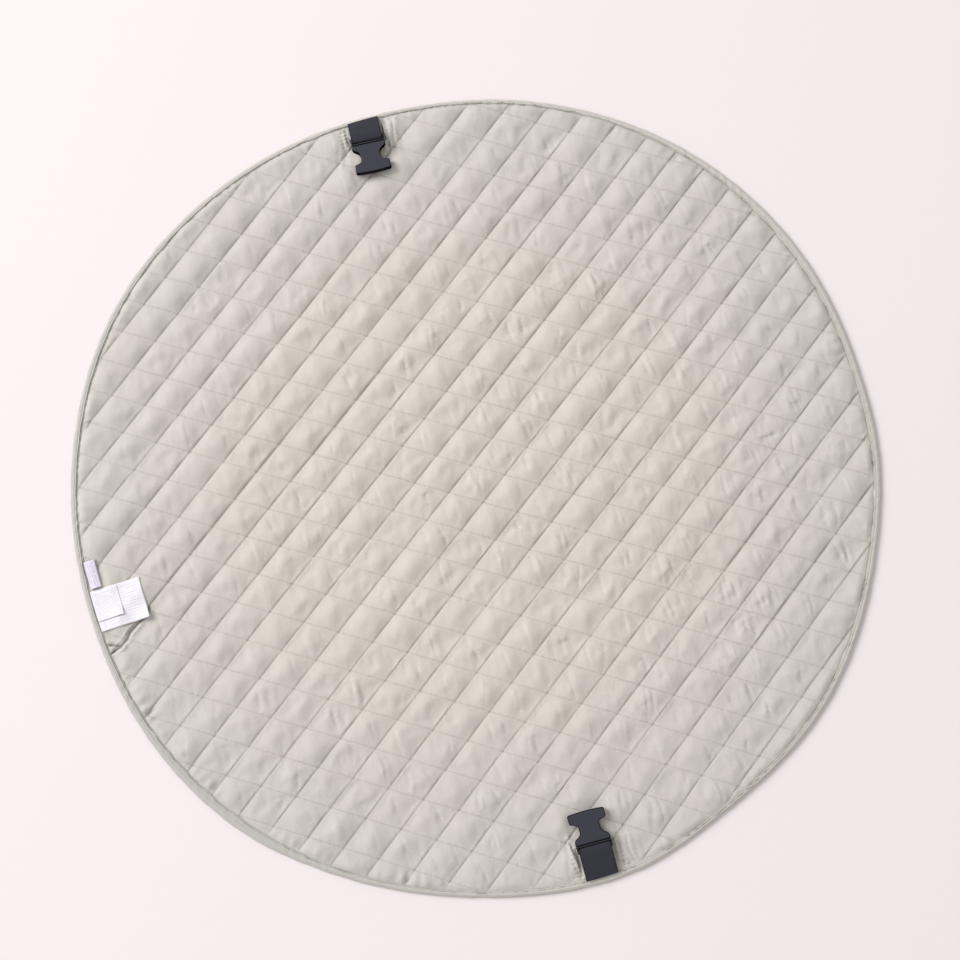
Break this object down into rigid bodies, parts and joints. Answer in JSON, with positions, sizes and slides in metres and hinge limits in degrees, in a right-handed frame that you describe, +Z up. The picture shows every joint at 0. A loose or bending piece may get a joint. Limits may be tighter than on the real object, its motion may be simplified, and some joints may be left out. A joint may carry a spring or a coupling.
{
  "type": "baby play mat",
  "caption": "Round quilted baby play mat lying flat, bound at the rim, with side-release buckle halves on webbing loops sewn to its plain back.",
  "frame": {"origin": "middle of the mat on the floor, in the plane of its underside", "axes": "+Z up out of the plain back that the picture shows, +Y from the middle to the upper buckle, +X to the right of it"},
  "size_m": [0.9821, 0.984, 0.0193],
  "materials": {
    "back_cloth": "matte, fine plain weave, quilted",
    "binding_tape": "matte bias tape",
    "webbing": "matte ribbed webbing",
    "buckle_plastic": "satin moulded plastic",
    "label_satin": "smooth printed-label satin, bare",
    "loop_satin": "smooth woven-label satin, bare"
  },
  "bodies": {
    "root": {"quilted_pad": "back_cloth", "edge_binding": "binding_tape", "webbing_upper": "webbing", "webbing_lower": "webbing", "buckle_upper": "buckle_plastic", "buckle_lower": "buckle_plastic", "care_label": "label_satin", "care_label_leaf": "label_satin", "loop_label": "loop_satin"}
  },
  "joints": []
}
